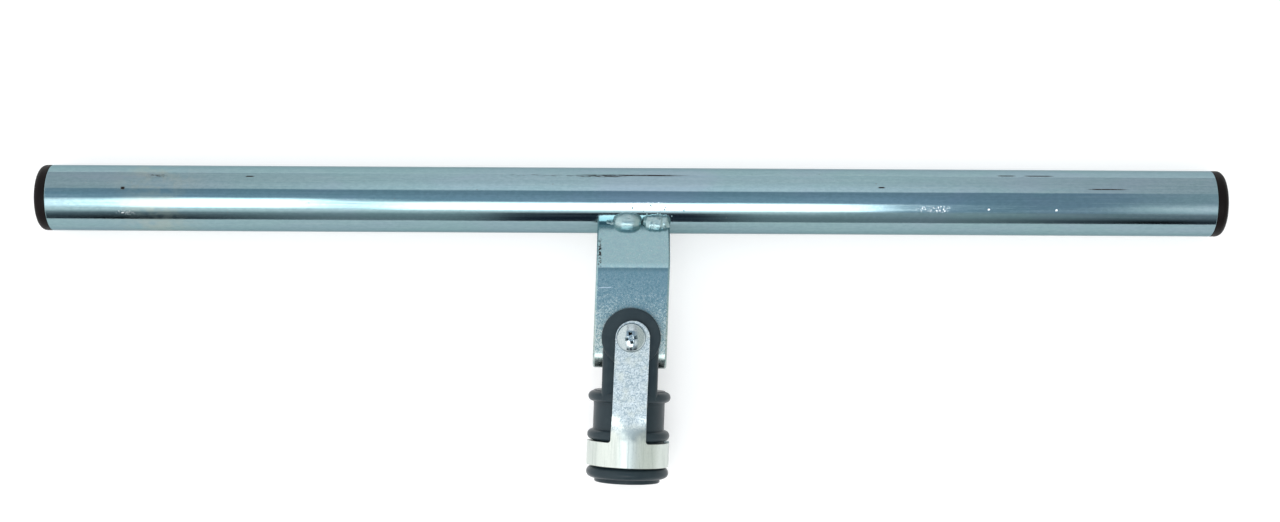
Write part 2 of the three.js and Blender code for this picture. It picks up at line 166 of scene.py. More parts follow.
# ---- Camera ----

CAMERA_DISTANCE = 1.012
CAMERA_LENS = 55
CAMERA_SENSOR = 36
CAMERA_ELEVATION = math.radians(80)
CAMERA_ROLL = math.radians(0.31)
CAMERA_AIM = (0.0046, -0.0312)  # along the tube and up the picture from the tube's middle
VIEW_BACK = Vector((0, -math.cos(CAMERA_ELEVATION), math.sin(CAMERA_ELEVATION)))
VIEW_UP = Vector((0, math.sin(CAMERA_ELEVATION), math.cos(CAMERA_ELEVATION)))


def make_camera():
    data = bpy.data.cameras.new("camera")
    data.lens = CAMERA_LENS
    data.sensor_width = CAMERA_SENSOR
    camera = bpy.data.objects.new("camera", data)
    bpy.context.collection.objects.link(camera)
    target = TUBE_CENTRE + CAMERA_AIM[0] * OBJECT_X + CAMERA_AIM[1] * VIEW_UP
    right = math.cos(CAMERA_ROLL) * OBJECT_X + math.sin(CAMERA_ROLL) * VIEW_UP
    up = math.cos(CAMERA_ROLL) * VIEW_UP - math.sin(CAMERA_ROLL) * OBJECT_X
    axes = Matrix((right, up, VIEW_BACK)).transposed().to_4x4()
    camera.matrix_world = Matrix.Translation(target + CAMERA_DISTANCE * VIEW_BACK) @ axes
    bpy.context.scene.camera = camera


# ---- Mesh tools ----

MERGE_DISTANCE = 0.002
CUT_REACH = 40  # past every piece that is cut
ALONG_Z = Matrix.Rotation(math.radians(90), 4, "X")


def arc(centre_radius, centre_height, radius, start, end, steps):
    """Points on part of a circle in a (radius, height) profile, between two angles in degrees."""
    points = []
    for i in range(steps + 1):
        angle = math.radians(start + (end - start) * i / steps)
        points.append((centre_radius + radius * math.cos(angle), centre_height + radius * math.sin(angle)))
    return points


def join_rings(mesh, lower, upper):
    """Faces between two rings of vertices, either of which may be a single pole."""
    count = max(len(lower), len(upper))
    for i in range(count):
        j = (i + 1) % count
        corners = [lower[i % len(lower)], lower[j % len(lower)], upper[j % len(upper)], upper[i % len(upper)]]
        face = list(dict.fromkeys(corners))
        if len(face) > 2:
            mesh.faces.new(face)


def lathe(profile, segments):
    """(radius, height) points turned round the Y axis. A profile that ends where it starts makes a ring."""
    mesh = bmesh.new()
    closed = profile[0] == profile[-1]
    rings = []
    for radius, height in profile[:-1] if closed else profile:
        if radius == 0:
            rings.append([mesh.verts.new((0, height, 0))])
            continue
        ring = []
        for i in range(segments):
            angle = 2 * math.pi * i / segments
            ring.append(mesh.verts.new((radius * math.sin(angle), height, radius * math.cos(angle))))
        rings.append(ring)
    for lower, upper in zip(rings, rings[1:]):
        join_rings(mesh, lower, upper)
    if closed:
        join_rings(mesh, rings[-1], rings[0])
    return mesh


def rod(radius, reach, segments):
    """A cylinder that runs as far each way along Y."""
    return lathe([(0, -reach), (radius, -reach), (radius, reach), (0, reach)], segments)


def rounded_rectangle(half_width, half_height, edge, steps):
    x = half_width - edge
    y = half_height - edge
    outline = []
    for sign_x, sign_y, start in ((1, 1, 0), (-1, 1, 90), (-1, -1, 180), (1, -1, 270)):
        outline += arc(sign_x * x, sign_y * y, edge, start, start + 90, steps)
    return outline


def prism(outline, low, high):
    """A closed outline of (x, y) points, extruded along Z."""
    mesh = bmesh.new()
    lower = [mesh.verts.new((x, y, low)) for x, y in outline]
    upper = [mesh.verts.new((x, y, high)) for x, y in outline]
    join_rings(mesh, lower, upper)
    mesh.faces.new(lower)
    mesh.faces.new(upper)
    return mesh


def piece(name, mesh, matrix, sharp=40):
    """An object from a bmesh in millimetres; edges over the sharp angle, in degrees, stay crisp."""
    mesh.transform(matrix)
    bmesh.ops.remove_doubles(mesh, verts=mesh.verts, dist=MERGE_DISTANCE * MM)
    bmesh.ops.recalc_face_normals(mesh, faces=mesh.faces)
    data = bpy.data.meshes.new(name)
    mesh.to_mesh(data)
    mesh.free()
    thing = bpy.data.objects.new(name, data)
    bpy.context.collection.objects.link(thing)
    smooth(thing, sharp)
    return thing


def smooth(thing, sharp):
    thing.data.shade_smooth()
    thing.data.set_sharp_from_angle(angle=math.radians(sharp))


def apply_modifiers(thing):
    """Bakes a piece's modifiers into its mesh."""
    depsgraph = bpy.context.evaluated_depsgraph_get()
    depsgraph.update()
    data = bpy.data.meshes.new_from_object(thing.evaluated_get(depsgraph))
    thing.modifiers.clear()
    thing.data = data


def combine(thing, other, operation):
    """Joins, cuts or intersects a piece with another, which is used up."""
    modifier = thing.modifiers.new("combine", "BOOLEAN")
    modifier.operation = operation
    modifier.solver = "EXACT"
    modifier.object = other
    apply_modifiers(thing)
    bpy.data.objects.remove(other)


def cut(thing, mesh, matrix):
    """Cuts a shape out of a piece."""
    combine(thing, piece("cutter", mesh, matrix), "DIFFERENCE")


def bevel(thing, width, segments, angle):
    """Rounds the piece's edges over an angle, in degrees, by a width in millimetres."""
    modifier = thing.modifiers.new("bevel", "BEVEL")
    modifier.width = width * MM
    modifier.segments = segments
    modifier.limit_method = "ANGLE"
    modifier.angle_limit = math.radians(angle)
    modifier.use_clamp_overlap = True
    apply_modifiers(thing)


def finish_piece(thing, body, slot, material, *nodes):
    """The piece rides on its body in place of CAD nodes, and gets its material. Its large faces stay flat."""
    modifier = thing.modifiers.new("normals", "WEIGHTED_NORMAL")
    modifier.mode = "FACE_AREA"
    modifier.weight = 50
    modifier.keep_sharp = True
    apply_modifiers(thing)
    thing.data.materials.clear()
    thing.data.materials.append(material)
    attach(thing, body)
    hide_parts(*nodes)


# ---- Node tools ----


class Nodes:
    """Adds nodes to one tree. A value is a number, a colour or another node's output."""

    def __init__(self, tree):
        self.tree = tree

    def add(self, kind, **settings):
        node = self.tree.nodes.new(kind)
        for key, value in settings.items():
            setattr(node, key, value)
        return node

    def feed(self, socket, value):
        if isinstance(value, bpy.types.NodeSocket):
            self.tree.links.new(value, socket)
        else:
            socket.default_value = value

    def math(self, operation, *values):
        node = self.add("ShaderNodeMath", operation=operation)
        for socket, value in zip(node.inputs, values):
            self.feed(socket, value)
        return node.outputs[0]

    def plus(self, first, second):
        return self.math("ADD", first, second)

    def times(self, first, second):
        return self.math("MULTIPLY", first, second)

    def split(self, vector):
        node = self.add("ShaderNodeSeparateXYZ")
        self.feed(node.inputs[0], vector)
        return node.outputs

    def stretch(self, vector, scale):
        node = self.add("ShaderNodeVectorMath", operation="MULTIPLY")
        self.feed(node.inputs[0], vector)
        self.feed(node.inputs[1], scale)
        return node.outputs[0]

    def dot(self, vector, direction):
        node = self.add("ShaderNodeVectorMath", operation="DOT_PRODUCT")
        self.feed(node.inputs[0], vector)
        self.feed(node.inputs[1], tuple(direction))
        return node.outputs["Value"]

    def along(self, place, axis, origin):
        """How far a place is along an axis from an origin in metres, all in the object's frame."""
        return self.math("SUBTRACT", self.dot(place, axis), axis.dot(origin) / MM)

    def noise(self, vector, scale, detail, rough, distortion=0.0):
        node = self.add("ShaderNodeTexNoise")
        self.feed(node.inputs["Vector"], vector)
        self.feed(node.inputs["Scale"], scale)
        self.feed(node.inputs["Detail"], detail)
        self.feed(node.inputs["Roughness"], rough)
        self.feed(node.inputs["Distortion"], distortion)
        return node.outputs[0]

    def step(self, value, low, high, start=0.0, end=1.0):
        """Goes smoothly from start to end as the value goes from low to high. High may be under low."""
        if low > high:
            low, high, start, end = high, low, end, start
        node = self.add("ShaderNodeMapRange", interpolation_type="SMOOTHSTEP")
        for socket, number in zip(node.inputs, (value, low, high, start, end)):
            self.feed(socket, number)
        return node.outputs[0]

    def window(self, value, low, high, soft):
        """1 between low and high, falling to 0 over a soft edge on each side."""
        rise = self.step(value, low - soft, low + soft)
        fall = self.step(value, high + soft, high - soft)
        return self.times(rise, fall)

    def mix(self, factor, first, second):
        node = self.add("ShaderNodeMix", data_type="RGBA")
        self.feed(node.inputs[0], factor)
        self.feed(node.inputs[6], first)
        self.feed(node.inputs[7], second)
        return node.outputs[2]

    def bump(self, height, distance, strength=1.0, normal=None):
        node = self.add("ShaderNodeBump")
        self.feed(node.inputs["Height"], height)
        self.feed(node.inputs["Distance"], distance * MM)
        self.feed(node.inputs["Strength"], strength)
        if normal is not None:
            self.feed(node.inputs["Normal"], normal)
        return node.outputs[0]


def colour(red, green, blue):
    return (red, green, blue, 1.0)


def new_material(name, metallic=0.0):
    """A material, its node tools, its shader and the surface's own coordinates in millimetres."""
    material = bpy.data.materials.new(name)
    material.use_nodes = True
    nodes = Nodes(material.node_tree)
    shader = material.node_tree.nodes["Principled BSDF"]
    shader.inputs["Metallic"].default_value = metallic
    place = nodes.add("ShaderNodeTexCoord").outputs["Object"]
    millimetres = nodes.stretch(place, (1 / MM, 1 / MM, 1 / MM))
    return material, nodes, shader, millimetres


# ---- Materials ----

TUBE_TEAL = colour(0.225, 0.345, 0.365)
TUBE_BLUE = colour(0.235, 0.335, 0.375)
TUBE_PALE = colour(0.36, 0.45, 0.46)
TUBE_DARK = colour(0.165, 0.265, 0.29)
TUBE_LILAC = colour(0.275, 0.33, 0.41)
# a green stain on the tube; on the bracket's low part it is partly painted reflection and shadow of the disc
GREEN_STAIN_AND_PAINTED_SHADE = colour(0.36, 0.39, 0.33)
EDGE_TINT = colour(0.55, 0.62, 0.64)  # what the plating keeps of the light at a grazing angle
SCRATCH_DARK = colour(0.022, 0.015, 0.014)
BARE_METAL = colour(0.86, 0.90, 0.92)
RUST = colour(0.11, 0.055, 0.03)
STRIP_TEAL = colour(0.235, 0.372, 0.395)
STRIP_BLUE = colour(0.228, 0.35, 0.385)
STRIP_PALE = colour(0.34, 0.43, 0.44)
STRIP_FROST = colour(0.45, 0.49, 0.475)
FROST_DARK = colour(0.26, 0.32, 0.345)
FROST_PALE = colour(0.54, 0.59, 0.60)
FROST_WARM = colour(0.52, 0.54, 0.47)
# painted shade for the strap arm's lower end, just above the band
FROST_SHADE = colour(0.24, 0.29, 0.30)
SATIN_DARK = colour(0.56, 0.61, 0.57)
SATIN_PALE = colour(0.66, 0.70, 0.66)
SATIN_LINE = colour(0.40, 0.45, 0.42)
# painted reflection: the line where a reflected light's edge crosses the band
SATIN_REFLECTION_EDGE = colour(0.34, 0.38, 0.37)
HARDWARE_PALE = colour(0.44, 0.50, 0.51)
HARDWARE_DARK = colour(0.34, 0.41, 0.43)
WELD_DARK = colour(0.27, 0.40, 0.42)
WELD_PALE = colour(0.37, 0.48, 0.49)
WELD_SCALE = colour(0.12, 0.14, 0.15)
PLUG_BLACK = colour(0.004, 0.002, 0.002)
PLUG_DULL = colour(0.003, 0.0015, 0.0015)
SOCKET_GREY = colour(0.022, 0.036, 0.043)
SOCKET_DULL = colour(0.016, 0.028, 0.035)
STEEL_PALE = colour(0.55, 0.57, 0.58)
STEEL_DARK = colour(0.44, 0.46, 0.48)
NYLON_PALE = colour(0.72, 0.76, 0.80)
NYLON_DULL = colour(0.64, 0.69, 0.74)
FERRITE_PALE = colour(0.018, 0.018, 0.019)
FERRITE_DARK = colour(0.012, 0.012, 0.013)
SPACER_PALE = colour(0.66, 0.66, 0.62)
SPACER_DULL = colour(0.58, 0.58, 0.55)

# Wear on the tube: from X to X along it, from angle to angle round it in degrees from its top towards its
# back, and how high a noise pattern has to be for a mark, so a lower number marks more of the patch.
DARK_STREAKS = ((-24, 24, 36, 39.5, 0.40), (-26, -4, 33, 36, 0.47), (-72, -20, 34.5, 38.5, 0.55),
                (60, 118, 40, 46, 0.60))
DARK_DOTS = ((188, 196, 40.5, 43, 0.30), (202, 215, 40.5, 43, 0.28), (234, 251, 11.5, 13.5, 0.36),
             (126, 129, 12.5, 15, 0.25), (-260, -258, 3, 8, 0.22), (-247, -238, 27, 34, 0.52),
             (-197, -193, 29, 31.5, 0.36))
BARE_SCRATCHES = ((146, 161, -29, -19, 0.56), (181.5, 182.5, -25, -22.5, 0.30), (216, 217, -26, -23, 0.30),
                  (-262, -253, -41, -33, 0.57), (-92, -16, -27, -20, 0.60), (0, 16, -25, -15, 0.57))


def tube_marks(nodes, x, angle, pattern, places):
    """Marks in chosen patches of the tube, broken up by a noise pattern."""
    marks = 0.0
    for start, end, low, high, threshold in places:
        along = nodes.window(x, start, end, (end - start) / 5)
        patch = nodes.times(along, nodes.window(angle, low, high, (high - low) / 4))
        mark = nodes.times(patch, nodes.step(pattern, threshold, threshold + 0.05))
        marks = nodes.math("MAXIMUM", marks, mark)
    return marks


def spots(nodes, vector, scale, threshold):
    """Small separate marks, where a fine noise goes over a threshold."""
    return nodes.step(nodes.noise(vector, scale, 3.0, 0.6), threshold, threshold + 0.03)


def tube_zinc():
    """Bright blue-passivated zinc with drawn lines along the tube, rubbed streaks, specks and a stain."""
    material, nodes, shader, place = new_material("tube_zinc", metallic=1.0)
    x, y, z = nodes.split(place)
    drawn = nodes.noise(nodes.stretch(place, (0.012, 1, 1)), 1.3, 3.0, 0.6)
    cloud = nodes.noise(nodes.stretch(place, (0.25, 1, 1)), 0.05, 3.0, 0.6)
    base = nodes.mix(nodes.step(cloud, 0.35, 0.7), TUBE_TEAL, TUBE_BLUE)
    base = nodes.mix(nodes.step(drawn, 0.35, 0.8, 0.0, 0.3), base, TUBE_PALE)

    mottle = nodes.noise(nodes.stretch(place, (0.5, 1, 1)), 0.7, 5.0, 0.7)
    base = nodes.mix(nodes.step(mottle, 0.62, 0.36, 0.0, 0.35), base, TUBE_DARK)
    drift = nodes.noise(nodes.stretch(place, (0.35, 1, 1)), 0.045, 2.0, 0.5, 0.8)
    base = nodes.mix(nodes.step(drift, 0.5, 0.72, 0.0, 0.3), base, TUBE_LILAC)
    stained = nodes.window(x, -256, -228, 16)
    stain = nodes.times(stained, nodes.step(nodes.noise(place, 0.09, 4.0, 0.6), 0.40, 0.60))
    base = nodes.mix(nodes.times(stain, 0.45), base, GREEN_STAIN_AND_PAINTED_SHADE)

    # Wear and specks.
    round_y = nodes.math("SUBTRACT", y, TUBE_CENTRE.y / MM)
    round_z = nodes.math("SUBTRACT", z, TUBE_CENTRE.z / MM)
    angle = nodes.math("DEGREES", nodes.math("ARCTAN2", round_y, round_z))
    streaky = nodes.noise(nodes.stretch(place, (0.10, 1, 1)), 2.2, 5.0, 0.7)
    crumbly = nodes.noise(place, 1.5, 3.0, 0.7)
    dark = tube_marks(nodes, x, angle, streaky, DARK_STREAKS)
    dark = nodes.math("MAXIMUM", dark, tube_marks(nodes, x, angle, crumbly, DARK_DOTS))
    base = nodes.mix(dark, base, SCRATCH_DARK)
    bare = tube_marks(nodes, x, angle, crumbly, BARE_SCRATCHES)
    base = nodes.mix(bare, base, BARE_METAL)
    specks = spots(nodes, place, 0.62, 0.735)
    base = nodes.mix(nodes.times(specks, 0.8), base, RUST)
    marks = nodes.math("MAXIMUM", dark, bare)

    nodes.feed(shader.inputs["Base Color"], base)
    shader.inputs["Specular Tint"].default_value = EDGE_TINT
    rough = nodes.step(drawn, 0.3, 0.75, 0.07, 0.13)
    rough = nodes.plus(rough, nodes.times(stain, 0.08))
    rough = nodes.plus(rough, nodes.times(nodes.math("MAXIMUM", marks, specks), 0.35))
    nodes.feed(shader.inputs["Roughness"], rough)
    waves = nodes.bump(nodes.noise(nodes.stretch(place, (0.3, 1, 1)), 0.09, 1.0, 0.4), 0.04)
    nodes.feed(shader.inputs["Normal"], nodes.bump(drawn, 0.003, 1.0, waves))
    return material


def bracket_zinc():
    """Zinc over hot-rolled strip: clear on the neck, frosted and mottled towards the low end."""
    material, nodes, shader, place = new_material("bracket_zinc", metallic=1.0)
    x, y = nodes.split(place)[:2]
    bend_y = (PIVOT @ Vector((0, BEND_Y, STRIP_FACE_Z))).y / MM
    mottle = nodes.noise(place, 0.30, 5.0, 0.65)
    grain = nodes.noise(place, 2.2, 3.0, 0.6)
    ragged = nodes.plus(y, nodes.times(mottle, 16))
    below_bend = nodes.step(ragged, bend_y + 9, bend_y + 5)
    low_part = nodes.step(ragged, bend_y - 4, bend_y - 30)
    base = nodes.mix(nodes.step(mottle, 0.35, 0.7), STRIP_TEAL, STRIP_BLUE)
    grainy = nodes.times(below_bend, nodes.step(grain, 0.45, 0.75, 0.0, 0.5))
    base = nodes.mix(grainy, base, STRIP_PALE)
    # Greenish grey on the low part beside the disc: partly frosty plating, partly painted reflection and shadow of
    # the disc.
    base = nodes.mix(nodes.times(low_part, 0.5), base, GREEN_STAIN_AND_PAINTED_SHADE)
    frost = nodes.noise(place, 0.9, 6.0, 0.78)
    towards_end = nodes.step(ragged, bend_y + 9, bend_y - 26, 0.25, 1.0)
    frosted = nodes.times(towards_end, nodes.step(frost, 0.46, 0.60))
    base = nodes.mix(nodes.times(frosted, 0.8), base, STRIP_FROST)
    dull = nodes.times(below_bend, nodes.step(frost, 0.47, 0.36, 0.0, 0.75))
    base = nodes.mix(dull, base, TUBE_DARK)
    speck = spots(nodes, place, 1.3, 0.70)
    base = nodes.mix(nodes.times(speck, 0.5), base, BARE_METAL)

    # Small dents down the neck's left edge, and one bright scratch below the bend.
    left_edge = nodes.window(x, -16.4, -14.9, 0.5)
    upper = nodes.window(y, bend_y + 1, bend_y + 16, 2)
    dots = nodes.times(nodes.times(left_edge, upper), spots(nodes, place, 0.6, 0.50))
    base = nodes.mix(dots, base, SCRATCH_DARK)
    height = nodes.along(place, PIVOT_Y, PIVOT.translation)
    wavy = nodes.plus(height, nodes.times(nodes.noise(place, 0.4, 2.0, 0.5), 1.2))
    scratch = nodes.times(nodes.window(x, -16, -9.5, 1.2), nodes.window(wavy, 25.2, 25.5, 0.25))
    base = nodes.mix(scratch, base, BARE_METAL)

    nodes.feed(shader.inputs["Base Color"], base)
    rough = nodes.step(mottle, 0.3, 0.7, 0.10, 0.18)
    rough = nodes.plus(rough, nodes.times(low_part, 0.12))
    rough = nodes.plus(rough, nodes.times(frosted, 0.14))
    rough = nodes.plus(rough, nodes.times(dots, 0.4))
    nodes.feed(shader.inputs["Roughness"], rough)
    coarse = nodes.bump(mottle, 0.05, 0.5)
    nodes.feed(shader.inputs["Normal"], nodes.bump(grain, 0.006, 0.8, coarse))
    return material


def frosted_zinc():
    """The straps' plating: a crystalline frost on the arm that ends raggedly above the smoother band."""
    material, nodes, shader, place = new_material("frosted_zinc", metallic=1.0)
    height = nodes.along(place, YOKE_Y, YOKE.translation)
    cloud = nodes.noise(place, 0.16, 4.0, 0.6)
    ragged = nodes.plus(height, nodes.times(cloud, 14))
    frost = nodes.step(ragged, BAND_TOP_Y + 10, BAND_TOP_Y + 15)
    cells = nodes.add("ShaderNodeTexVoronoi", feature="F1")
    nodes.feed(cells.inputs["Vector"], place)
    nodes.feed(cells.inputs["Scale"], 1.9)
    facet = nodes.dot(cells.outputs["Color"], (0.34, 0.33, 0.33))
    grain = nodes.noise(place, 3.0, 3.0, 0.7)
    frosty = nodes.mix(nodes.step(facet, 0.25, 0.75), FROST_DARK, FROST_PALE)
    frosty = nodes.mix(nodes.step(cloud, 0.45, 0.7, 0.0, 0.55), frosty, FROST_WARM)
    satin = nodes.mix(nodes.step(grain, 0.35, 0.75), SATIN_DARK, SATIN_PALE)
    lined = nodes.noise(nodes.stretch(place, (1.0, 0.04, 0.04)), 1.6, 3.0, 0.6)
    satin = nodes.mix(nodes.step(lined, 0.5, 0.62, 0.0, 0.35), satin, SATIN_LINE)
    across = nodes.along(place, YOKE_X, YOKE.translation)
    # Painted reflection: a darker line down the band's middle, where the edge of a reflected light falls.
    painted_reflection_edge = nodes.window(across, 0.1, 0.6, 0.4)
    satin = nodes.mix(nodes.times(painted_reflection_edge, 0.7), satin, SATIN_REFLECTION_EDGE)
    base = nodes.mix(frost, satin, frosty)
    # Painted shade: a darker patch on the lower arm just above the band, fading out towards the arm's left edge.
    painted_shade = nodes.window(ragged, BAND_TOP_Y + 9, BAND_TOP_Y + 16, 2.5)
    painted_shade = nodes.times(painted_shade, nodes.step(across, -6.5, -1.5, 0.0, 0.75))
    base = nodes.mix(painted_shade, base, FROST_SHADE)
    nodes.feed(shader.inputs["Base Color"], base)
    rough = nodes.plus(nodes.step(grain, 0.3, 0.7, 0.27, 0.36), nodes.times(frost, 0.02))
    nodes.feed(shader.inputs["Roughness"], rough)
    sparkle = nodes.times(facet, frost)
    coarse = nodes.bump(sparkle, 0.03, 0.6)
    nodes.feed(shader.inputs["Normal"], nodes.bump(grain, 0.008, 0.8, coarse))
    return material


def hardware_zinc():
    """Bright zinc on the screw, washer and nut."""
    material, nodes, shader, place = new_material("hardware_zinc", metallic=1.0)
    grain = nodes.noise(place, 1.4, 3.0, 0.6)
    base = nodes.mix(nodes.step(grain, 0.3, 0.75), HARDWARE_PALE, HARDWARE_DARK)
    nodes.feed(shader.inputs["Base Color"], base)
    nodes.feed(shader.inputs["Roughness"], nodes.step(grain, 0.3, 0.75, 0.08, 0.16))
    nodes.feed(shader.inputs["Normal"], nodes.bump(grain, 0.015, 0.6))
    return material


def weld_metal():
    """Plated weld: zinc over a rippled, slightly scaly bead."""
    material, nodes, shader, place = new_material("weld_metal", metallic=1.0)
    grain = nodes.noise(place, 0.9, 4.0, 0.65)
    base = nodes.mix(nodes.step(grain, 0.35, 0.7), WELD_DARK, WELD_PALE)
    dark = spots(nodes, place, 0.9, 0.68)
    base = nodes.mix(nodes.times(dark, 0.6), base, WELD_SCALE)
    nodes.feed(shader.inputs["Base Color"], base)
    nodes.feed(shader.inputs["Roughness"], nodes.step(grain, 0.3, 0.7, 0.32, 0.42))
    nodes.feed(shader.inputs["Normal"], nodes.bump(grain, 0.010, 0.6))
    return material


def moulded_plastic(name, light, dark, roughness, gloss):
    """Satin moulded plastic with a faint grain and a little dust-dull variation."""
    material, nodes, shader, place = new_material(name)
    cloud = nodes.noise(place, 0.12, 4.0, 0.6)
    grain = nodes.noise(place, 2.6, 2.0, 0.5)
    nodes.feed(shader.inputs["Base Color"], nodes.mix(nodes.step(cloud, 0.3, 0.7), dark, light))
    shader.inputs["Specular IOR Level"].default_value = gloss
    nodes.feed(shader.inputs["Roughness"], nodes.step(cloud, 0.3, 0.7, roughness, roughness + 0.12))
    nodes.feed(shader.inputs["Normal"], nodes.bump(grain, 0.012, 0.6))
    return material


def plain_solid(name, light, dark, roughness, metallic, scale):
    """Materials of the pieces inside the tube and of other plain stock."""
    material, nodes, shader, place = new_material(name, metallic)
    grain = nodes.noise(place, scale, 4.0, 0.6)
    nodes.feed(shader.inputs["Base Color"], nodes.mix(nodes.step(grain, 0.3, 0.7), dark, light))
    nodes.feed(shader.inputs["Roughness"], nodes.step(grain, 0.3, 0.7, roughness, roughness + 0.12))
    nodes.feed(shader.inputs["Normal"], nodes.bump(grain, 0.02, 0.5))
    return material


# ---- Tube and plugs ----

ALONG_X = Matrix.Rotation(math.radians(-90), 4, "Z")
TUBE_WALL = 1.5
TUBE_END_EDGE = 0.35
PLUG_EDGE = 3.4
PLUG_LIP = 0.25
PLUG_GAP = 0.05
PLUG_SHANK = 16
PLUG_WALL = 2.2
PLUG_HOLLOW_TOP = 1.2
PLUG_CLEARANCE = 0.2
BARB_COUNT = 3
BARB_PITCH = 4
BARB_RISE = 3.2
BARB_DEPTH = 0.7


def make_tube(material):
    half = TUBE_LENGTH / 2
    inner = TUBE_RADIUS - TUBE_WALL
    bend = TUBE_END_EDGE
    profile = [(inner, -half)]
    profile += arc(TUBE_RADIUS - bend, -half + bend, bend, -90, 0, 4)
    profile += arc(TUBE_RADIUS - bend, half - bend, bend, 0, 90, 4)
    profile += [(inner, half), (inner, -half)]
    tube = piece("tube_shell", lathe(profile, 160), TUBE @ ALONG_X)
    finish_piece(tube, "head", "tube_zinc", material, "magnet_tube")


def make_plug(side, material):
    """A domed head with a fine step where it meets the tube, over a barbed hollow shank."""
    name = "right" if side > 0 else "left"
    tube_end = TUBE_LENGTH / 2
    head = PLUG_END - tube_end
    shank = TUBE_RADIUS - TUBE_WALL - PLUG_CLEARANCE
    hollow = shank - PLUG_WALL
    root = shank - BARB_DEPTH
    profile = [(0, PLUG_HOLLOW_TOP), (hollow, PLUG_HOLLOW_TOP), (hollow, -PLUG_SHANK), (root, -PLUG_SHANK)]
    for i in range(BARB_COUNT):
        low = -PLUG_SHANK + i * BARB_PITCH
        profile += [(shank, low + BARB_RISE), (root, low + BARB_PITCH)]
    rim = TUBE_RADIUS - PLUG_GAP
    profile += [(shank, PLUG_GAP), (rim - PLUG_LIP - 0.05, PLUG_GAP)]
    profile += arc(rim - PLUG_LIP, PLUG_GAP + PLUG_LIP, PLUG_LIP, -90, 0, 4)
    profile += arc(rim - PLUG_EDGE, head - PLUG_EDGE, PLUG_EDGE, 0, 84, 14)
    profile += [(TUBE_RADIUS - PLUG_EDGE - 2.2, head - 0.01), (0, head)]
    turn = Matrix.Rotation(math.pi, 4, "Z") if side < 0 else Matrix.Identity(4)
    place = TUBE @ turn @ Matrix.Translation((tube_end, 0, 0)) @ ALONG_X
    plug = piece(f"{name}_plug", lathe(profile, 96), place)
    finish_piece(plug, "head", "black_plastic", material, f"{name}_end_plug")


# ---- Bracket ----


def strip_path():
    """The strip's middle line in the pivot frame's (Y, Z), from the tube's wall to the rear leg's end."""
    tube = Vector((TUBE_IN_PIVOT.y, TUBE_IN_PIVOT.z))
    outward = Vector((-math.cos(NECK_ANGLE), math.sin(NECK_ANGLE)))
    vertex = tube + NECK_LENGTH * outward
    bend_y = vertex.x - NECK_BEND_RADIUS * math.tan(NECK_ANGLE / 2)
    bend_z = vertex.y - NECK_BEND_RADIUS
    hairpin_y = STRIP_LOW_Y + STRIP_FACE_Z
    middle = STRIP_FACE_Z - STRIP_THICKNESS / 2
    start = tube + (TUBE_RADIUS - 0.8) * outward
    points = [tuple(start)]
    points += arc(bend_y, bend_z, NECK_BEND_RADIUS, 90 - math.degrees(NECK_ANGLE), 90, 10)
    points += arc(hairpin_y, 0, middle, 90, 270, 20)
    points.append((REAR_LEG_TOP, -middle))
    return points


def strip_section():
    """Rounded outline across the strip, as (X, thickness) points."""
    return rounded_rectangle(STRIP_WIDTH / 2, STRIP_THICKNESS / 2, STRIP_EDGE, 5)


def subdivided(points, longest):
    """The same line with no step longer than a length."""
    result = [points[0]]
    for first, second in zip(points, points[1:]):
        steps = max(1, math.ceil(math.dist(first, second) / longest))
        for i in range(1, steps + 1):
            part = i / steps
            result.append(tuple(a + (b - a) * part for a, b in zip(first, second)))
    return result


def make_bracket(material):
    mesh = bmesh.new()
    path = subdivided(strip_path(), STRIP_STEP)
    bend_y = strip_path()[1][0]
    rings = []
    for i, (y, z) in enumerate(path):
        before = path[max(i - 1, 0)]
        after = path[min(i + 1, len(path) - 1)]
        heading = (Vector(after) - Vector(before)).normalized()
        front = Vector((heading.y, -heading.x))
        ring = []
        for across, thick in strip_section():
            point_y = y + thick * front.x
            below = max(0, bend_y - point_y)
            low = across * STRIP_END_SKEW * below / (bend_y - STRIP_LOW_Y)
            place = (STRIP_X + across - below * STRIP_SKEW, point_y - low, z + thick * front.y)
            ring.append(mesh.verts.new(place))
        rings.append(ring)
    for lower, upper in zip(rings, rings[1:]):
        join_rings(mesh, lower, upper)
    mesh.faces.new(rings[0])
    mesh.faces.new(rings[-1])
    bracket = piece("bent_strap", mesh, PIVOT)
    cut(bracket, rod(BUSHING_RADIUS + BUSHING_CLEARANCE, CUT_REACH, 64), PIVOT @ ALONG_Z)
    smooth(bracket, 40)
    finish_piece(bracket, "head", "bracket_zinc", material, "strap_bracket")


# ---- Weld beads ----


def bead_frame(side):
    """Takes a bead's axes to the object's: X along the tube, Y off the strip's face, Z out along the neck."""
    turn = Matrix.Rotation(math.pi / 2 - NECK_ANGLE, 4, "X")
    flip = Matrix.Scale(side, 4, (0, 1, 0))
    root = Vector((STRIP_X, TUBE_IN_PIVOT.y, TUBE_IN_PIVOT.z))
    return PIVOT @ Matrix.Translation(root) @ turn @ flip


BEAD_FULLNESS = 0.74  # under 1 is fuller and flatter than an ellipsoid
SMOOTH_HALF_SIZES = (7.4, 5.5, 6.0)
ROUGH_HALF_SIZES = (7.0, 4.7, 5.8)
CORNER_HALF_SIZES = (3.5, 4.4, 5.3)
REAR_HALF_SIZES = (7.2, 2.9, 3.8)
REAR_BEAD_X = 9
PIT = Vector((0.4, 5.2, 2.0))
PIT_DEPTH = 0.7
PIT_RADIUS = 0.6
SPATTER_SEED = 5
SPATTER_COUNT = 18
SPATTER_MIDDLE = 12
SPATTER_SPREAD = 5.5
SPATTER_ANGLES = (16, 36)
SPATTER_RADII = (0.18, 0.5)


